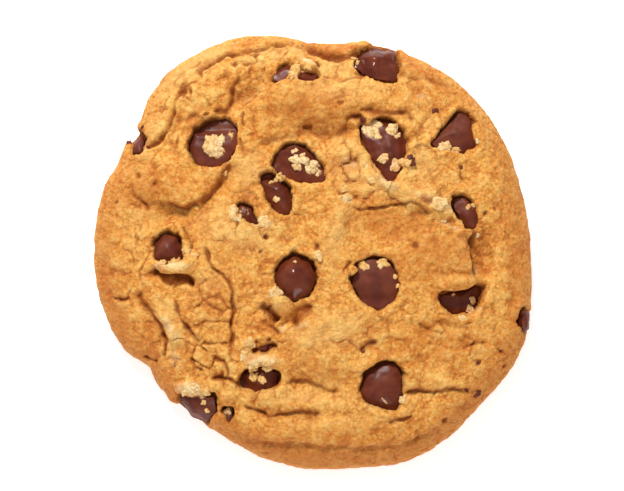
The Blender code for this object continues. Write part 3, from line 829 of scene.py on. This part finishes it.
# ---------------------------------------------------------------------------
# Crumbs and bits of chocolate
# ---------------------------------------------------------------------------
# Crumbs that cling to the chips and the torn dough: x, y, size and count, mm.
CRUMBS = [
    (-20, 21.2, 2.3, 12), (-18.4, 22.4, 1.1, 6), (-16.5, 23.6, 0.6, 4), (-2.2, 18.2, 1.6, 7),
    (-0.4, 17, 1.4, 6), (1.2, 15.8, 1, 5), (-3.4, 20.2, 0.7, 3), (12.5, 25.2, 2.1, 10),
    (13.4, 23.4, 1.1, 5), (16.3, 24.6, 1.2, 6), (17.6, 23.6, 0.8, 4), (14.6, 18.8, 1.1, 5),
    (16.9, 17.4, 1.1, 5), (18.8, 18, 1.2, 5), (-7.1, 10.3, 0.9, 4), (-8.2, 13.8, 0.6, 3),
    (-6.4, 14.6, 1.1, 5), (31.8, 8.8, 0.6, 3), (33, 9.4, 0.8, 4), (32.6, -10, 0.7, 4),
    (32.2, -11.8, 0.9, 4), (28.8, -8.9, 0.4, 2), (10.3, -2.5, 1.4, 7), (14.5, -2.6, 1.1, 5),
    (16.9, -5.4, 0.7, 4), (17.3, -7.2, 0.6, 3), (-3.3, -2.4, 0.4, 2), (27.2, 21, 1.4, 7),
    (29.2, 20.6, 1.1, 5), (34.1, 22.6, 0.8, 4), (-21.9, -30.8, 0.6, 3), (-21.2, -32.4, 0.6, 3),
    (-11.6, -25.5, 1, 5), (-10, -26.2, 0.8, 4), (-25.8, -28.6, 1, 6), (-23.4, -28, 1, 6),
    (-21.4, -28.6, 1.1, 5), (-8.6, -23.4, 1.2, 6), (-11.6, -23.6, 1.2, 6), (-3.6, 35.6, 1, 5),
    (-3.1, 37, 1.2, 6), (-0.6, 37.5, 0.9, 4), (9.2, 39.2, 1.1, 5), (1.4, -1.2, 0.9, 5),
    (-7.2, -8.8, 1.3, 5), (-9.4, 5.3, 1.6, 7), (-15.6, 8.2, 1.1, 5), (-14.9, 6.4, 0.9, 4),
    (25.8, 9.4, 1.4, 6), (18.6, -30.2, 0.9, 4), (-25.4, 0, 0.9, 5), (-24, -1.3, 1, 5),
    (-27.8, -2.2, 1, 5), (-30, -2.8, 0.8, 4), (-13.2, -21.2, 1.3, 5), (-12.6, -18.6, 1.1, 5),
    (27, 6, 0.9, 4), (33.8, 3.2, 0.6, 3), (30.6, -13.8, 0.8, 4), (12.4, 14.2, 0.9, 4),
    (11, 17.2, 0.9, 4), (-17.6, 15.8, 0.6, 3), (6, 12.4, 0.9, 4),
]

# Bits of chocolate beside the chips: x, y, size and count, mm.
CHOCOLATE_BITS = [
    (25.2, 28.7, 0.8, 3), (-37.6, 22.4, 0.6, 3), (-34.6, 25.6, 0.5, 2), (-33.4, 21.2, 0.6, 2),
    (33.8, -28.8, 0.9, 4), (31.4, -28.2, 0.6, 2), (20.2, 17.6, 0.7, 2), (30.3, 16.8, 0.5, 2),
    (12.2, -18.6, 0.6, 2), (10.4, -20.6, 0.6, 2), (16, 19.4, 0.6, 2), (10.2, 26.6, 0.7, 2),
    (-9.8, -19.9, 1.2, 3), (-8.2, -19.6, 0.9, 2), (19.9, 18.4, 0.9, 3), (10.6, 27, 0.9, 3),
    (35, 7.4, 0.3, 1), (34, -22.8, 0.5, 1), (-9.6, 2.8, 0.4, 1),
]
LUMP_ROUNDS = 3  # icosphere subdivisions: 320 faces a lump


def surface_height(pieces, x, y):
    """Height in mm of the highest of the pieces over a point, or None."""
    above = Vector((x, y, 40.0)) * MM
    hits = [piece.ray_cast(above, Vector((0, 0, -1))) for piece in pieces]
    heights = [place.z / MM for found, place, _, _ in hits if found]
    return max(heights) if heights else None


def add_lump(bm, middle, size, chance):
    """One small ragged lump, mm."""
    made = bmesh.ops.create_icosphere(bm, subdivisions=LUMP_ROUNDS, radius=size * MM)["verts"]
    squash = [chance.uniform(0.7, 1.5), chance.uniform(0.7, 1.3), chance.uniform(0.26, 0.42)]
    turn = Matrix.Rotation(chance.uniform(0, math.tau), 4, "Z")
    bmesh.ops.scale(bm, vec=squash, verts=made)
    bmesh.ops.rotate(bm, matrix=turn, verts=made)
    shift = Vector([chance.uniform(-50, 50) for _ in range(3)])
    for vert in made:
        place = vert.co / (size * MM) + shift
        vert.co *= 1.0 + 0.6 * noise.noise(1.3 * place) + 0.16 * noise.noise(3.5 * place)
    bmesh.ops.translate(bm, vec=Vector(middle) * MM, verts=made)


def build_lumps(name, clusters, pieces, finish, seed):
    """Clusters of ragged lumps resting on the pieces below, as one mesh."""
    chance = random.Random(seed)
    bm = bmesh.new()
    for x, y, size, count in clusters:
        for number in range(count):
            reach = 0.0 if number == 0 else size * 0.58
            at_x = x + chance.uniform(-reach, reach)
            at_y = y + chance.uniform(-reach, reach)
            lump = size * (0.85 if number == 0 else chance.uniform(0.3, 0.6))
            height = surface_height(pieces, at_x, at_y)
            if height is not None:
                add_lump(bm, (at_x, at_y, height), lump, chance)
    top = cad_box[1][2]
    for vert in bm.verts:
        vert.co.z = min(vert.co.z, top)
    mesh = bpy.data.meshes.new(name)
    bm.to_mesh(mesh)
    bm.free()
    mesh.shade_smooth()
    return add_piece(name, mesh, finish)


# ---------------------------------------------------------------------------
# Finishes
# ---------------------------------------------------------------------------
def linear(hex_colour):
    """sRGB hex such as 'DC9145' as linear RGBA."""
    parts = [int(hex_colour[i:i + 2], 16) / 255 for i in (0, 2, 4)]
    curve = [p / 12.92 if p <= 0.04045 else ((p + 0.055) / 1.055) ** 2.4 for p in parts]
    return (*curve, 1.0)


def add_node(tree, kind, inputs=None, **settings):
    """Adds a node, sets its options, and fills or links its inputs."""
    node = tree.nodes.new(kind)
    for name, value in settings.items():
        setattr(node, name, value)
    for socket, value in (inputs or {}).items():
        if isinstance(value, bpy.types.NodeSocket):
            tree.links.new(value, node.inputs[socket])
        else:
            node.inputs[socket].default_value = value
    return node


def blend(tree, factor, first, second):
    """Colour mixed from first to second."""
    mix = add_node(tree, "ShaderNodeMix", data_type="RGBA")
    for index, value in ((0, factor), (6, first), (7, second)):
        if isinstance(value, bpy.types.NodeSocket):
            tree.links.new(value, mix.inputs[index])
        else:
            mix.inputs[index].default_value = value
    return mix.outputs[2]


def spread(tree, value, low, high, to_low=0.0, to_high=1.0):
    """Stretches a value from one range to another, clamped."""
    node = add_node(
        tree, "ShaderNodeMapRange",
        {"Value": value, "From Min": low, "From Max": high, "To Min": to_low,
         "To Max": to_high},
    )
    return node.outputs[0]


def noise_at(tree, place, spacing, detail=3.0, rough=0.55):
    """Noise with features about spacing (metres) apart."""
    node = add_node(
        tree, "ShaderNodeTexNoise",
        {"Vector": place, "Scale": 1.0 / spacing, "Detail": detail, "Roughness": rough},
    )
    return node.outputs[0]


def attribute(tree, name):
    return add_node(tree, "ShaderNodeAttribute", attribute_name=name).outputs["Fac"]


def new_material(name):
    material = bpy.data.materials.new(name)
    material.use_nodes = True
    tree = material.node_tree
    shader = tree.nodes["Principled BSDF"]
    place = add_node(tree, "ShaderNodeTexCoord").outputs["Object"]
    return material, tree, shader, place


# Colour layers over the crust, in order: attribute, where it starts and is full, its share and its
# colour. Some are painted light or shade, as said above each.
PAINTED = [
    # paler yellow crust, partly painted light on slopes facing the key light
    ("golden_and_lit", 0.1, 0.9, 0.6, "F4C676"),
    # browner crust, partly painted shade on slopes facing away from the key light
    ("toasted_and_shaded", 0.1, 0.9, 0.62, "C06A22"),
    # painted shade between the lumps, then painted light on their tops
    ("lump", 0.5, 0.15, 0.5, "BC682A"),
    ("lump", 0.55, 0.95, 0.5, "F2C672"),
    # rim browning, with painted shade towards the near side
    ("browned_and_shaded", 0.1, 0.9, 0.6, "C06C2C"),
    ("torn", 0.3, 0.9, 0.8, "F2DCA6"),
    # painted shade in creases, cracks, pits and the gaps round the chips
    ("crease", 0.12, 0.65, 0.85, "924616"),
    ("under", 0.2, 1.0, 0.6, "BE7236"),
]


def baked_cookie_dough():
    """Sugar cookie dough baked brown in the oven: matt and sandy, paler yellow where it stayed
    thin-skinned and darker on some humps, both partly painted light and shade, with painted shade in
    the creases, between the lumps and on the near side of the rim, painted light on the lump tops,
    and pale where it tore."""
    material, tree, shader, place = new_material("baked_cookie_dough")
    patches = noise_at(tree, place, 6 * MM, 5.0, 0.6)
    blotch = noise_at(tree, place, 2.8 * MM, 4.0, 0.65)
    speckle = noise_at(tree, place, 0.7 * MM, 2.0)
    colour = blend(tree, spread(tree, patches, 0.38, 0.62), linear("E0943C"), linear("E9A44C"))
    colour = blend(tree, spread(tree, blotch, 0.47, 0.34, 0.0, 0.55), colour, linear("C06C28"))
    colour = blend(tree, spread(tree, blotch, 0.53, 0.66, 0.0, 0.6), colour, linear("EFBA64"))
    colour = blend(tree, spread(tree, speckle, 0.53, 0.67, 0.0, 0.65), colour, linear("F3C876"))
    colour = blend(tree, spread(tree, speckle, 0.46, 0.33, 0.0, 0.6), colour, linear("B8641E"))
    for name, low, high, share, shade in PAINTED:
        factor = spread(tree, attribute(tree, name), low, high, 0.0, share)
        colour = blend(tree, factor, colour, linear(shade))
    tree.links.new(colour, shader.inputs["Base Color"])
    tree.links.new(spread(tree, patches, 0.3, 0.7, 0.62, 0.8), shader.inputs["Roughness"])
    shader.inputs["Specular IOR Level"].default_value = 0.2
    shader.inputs["Subsurface Weight"].default_value = 0.1
    shader.inputs["Subsurface Scale"].default_value = 1 * MM
    shader.inputs["Subsurface Radius"].default_value = (1.0, 0.5, 0.2)
    grit = noise_at(tree, place, 0.5 * MM, 2.0, 0.6)
    coarse = noise_at(tree, place, 1.3 * MM, 3.0, 0.6)
    lumps = add_node(
        tree, "ShaderNodeBump", {"Height": coarse, "Strength": 0.9, "Distance": 0.7 * MM}
    )
    bump = add_node(
        tree, "ShaderNodeBump",
        {"Height": grit, "Strength": 0.8, "Distance": 0.35 * MM, "Normal": lumps.outputs[0]},
    )
    tree.links.new(bump.outputs[0], shader.inputs["Normal"])
    return material


def torn_crumb():
    """Inside of the dough, unbrowned: pale, matt and crumbly."""
    material, tree, shader, place = new_material("torn_crumb")
    speckle = noise_at(tree, place, 0.5 * MM, 2.0)
    batch = noise_at(tree, place, 7 * MM, 1.0)
    pale = blend(tree, spread(tree, batch, 0.4, 0.6), linear("EABF76"), linear("F2DAA6"))
    colour = blend(tree, spread(tree, speckle, 0.3, 0.6), linear("CB8E45"), pale)
    tree.links.new(colour, shader.inputs["Base Color"])
    shader.inputs["Roughness"].default_value = 0.8
    shader.inputs["Specular IOR Level"].default_value = 0.25
    return material


def dark_baking_chocolate():
    """Semi-sweet chocolate that melted and set again: satin, with a soft bloom."""
    material, tree, shader, place = new_material("dark_baking_chocolate")
    cloud = noise_at(tree, place, 3 * MM, 3.0)
    colour = blend(tree, spread(tree, cloud, 0.35, 0.7), linear("5A2316"), linear("763822"))
    crumbs = noise_at(tree, place, 0.7 * MM, 3.0, 0.65)
    dust = add_node(
        tree, "ShaderNodeMath", {0: attribute(tree, "dusted"), 1: crumbs}, operation="ADD"
    ).outputs[0]
    smear = blend(tree, spread(tree, crumbs, 0.35, 0.65), linear("A8744A"), linear("E8C088"))
    colour = blend(tree, spread(tree, dust, 1.0, 1.25, 0.0, 0.9), colour, smear)
    tree.links.new(colour, shader.inputs["Base Color"])
    dull = spread(tree, attribute(tree, "gloss"), 0.0, 1.0, 0.55, 0.17)
    rough = spread(tree, cloud, 0.3, 0.7, -0.04, 0.06)
    uneven = add_node(tree, "ShaderNodeMath", {0: dull, 1: rough}, operation="ADD")
    tree.links.new(uneven.outputs[0], shader.inputs["Roughness"])
    shader.inputs["Specular IOR Level"].default_value = 0.24
    ripple = noise_at(tree, place, 1.2 * MM, 2.0)
    bump = add_node(
        tree, "ShaderNodeBump", {"Height": ripple, "Strength": 0.2, "Distance": 0.12 * MM}
    )
    tree.links.new(bump.outputs[0], shader.inputs["Normal"])
    return material


PAPER_GLOW = 0.5  # light from under the translucent paper, which thins the shadow
PAPER_REACH = 1.5  # half the paper's side, m
WORLD_LIGHT = 0.47
KEY_PLACE, KEY_SIZE, KEY_POWER = (-0.14, 0.46, 0.48), 0.14, 4.1  # m, m, W
FILL_PLACE, FILL_SIZE, FILL_POWER = (0.1, -0.6, 0.2), 0.4, 1.5


def studio_paper():
    """White translucent paper over a light table: no visible texture."""
    material, _, shader, _ = new_material("studio_paper")
    shader.inputs["Base Color"].default_value = linear("F8F8F8")
    shader.inputs["Roughness"].default_value = 0.9
    shader.inputs["Emission Color"].default_value = (1, 1, 1, 1)
    shader.inputs["Emission Strength"].default_value = PAPER_GLOW
    return material


DOUGH = baked_cookie_dough()
CRUMB = torn_crumb()
CHOCOLATE = dark_baking_chocolate()


def add_piece(name, mesh, finish):
    """Links a finished mesh, gives it its finish and ties it to the frame."""
    mesh.materials.append(finish)
    piece = bpy.data.objects.new("baked_" + name, mesh)
    bpy.context.scene.collection.objects.link(piece)
    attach(piece, "root")
    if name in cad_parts:
        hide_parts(name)
    return piece


# ---------------------------------------------------------------------------
# Studio
# ---------------------------------------------------------------------------
PICTURE_WIDTH = 126.8 * MM  # of the tray, across the picture
LENS = 100.0
SENSOR = 36.0
CAMERA_RISE = 86.0  # degrees above the tray
AIM = Vector((0.1, 1.1, 8.0)) * MM


def aimed(obj, target):
    obj.rotation_euler = (target - obj.location).to_track_quat("-Z", "Y").to_euler()


def add_camera():
    data = bpy.data.cameras.new("camera")
    data.lens = LENS
    data.sensor_width = SENSOR
    camera = bpy.data.objects.new("camera", data)
    bpy.context.scene.collection.objects.link(camera)
    distance = PICTURE_WIDTH * LENS / SENSOR
    rise = math.radians(CAMERA_RISE)
    camera.location = AIM + distance * Vector((0, -math.cos(rise), math.sin(rise)))
    aimed(camera, AIM)
    bpy.context.scene.camera = camera


def add_softbox(name, location, size, power):
    data = bpy.data.lights.new(name, "AREA")
    data.shape = "DISK"
    data.size = size
    data.energy = power
    lamp = bpy.data.objects.new(name, data)
    lamp.location = location
    bpy.context.scene.collection.objects.link(lamp)
    aimed(lamp, Vector((0, 0, 0)))


def add_studio():
    bm = bmesh.new()
    bmesh.ops.create_grid(bm, x_segments=1, y_segments=1, size=PAPER_REACH)
    mesh = bpy.data.meshes.new("table")
    bm.to_mesh(mesh)
    bm.free()
    mesh.materials.append(studio_paper())
    table = bpy.data.objects.new("table", mesh)
    bpy.context.scene.collection.objects.link(table)
    world = bpy.data.worlds.new("studio")
    world.use_nodes = True
    world.node_tree.nodes["Background"].inputs["Color"].default_value = (1, 1, 1, 1)
    world.node_tree.nodes["Background"].inputs["Strength"].default_value = WORLD_LIGHT
    bpy.context.scene.world = world
    add_softbox("key", KEY_PLACE, KEY_SIZE, KEY_POWER)
    add_softbox("fill", FILL_PLACE, FILL_SIZE, FILL_POWER)
    bpy.context.scene.view_settings.view_transform = "Standard"


baked = [build_dough()] + [build_chip(chip_name) for chip_name in CHIPS]
bpy.context.view_layer.update()
build_lumps("crumbs", CRUMBS, baked, CRUMB, SEED)
build_lumps("chocolate_bits", CHOCOLATE_BITS, baked, CHOCOLATE, SEED + 1)
add_camera()
add_studio()
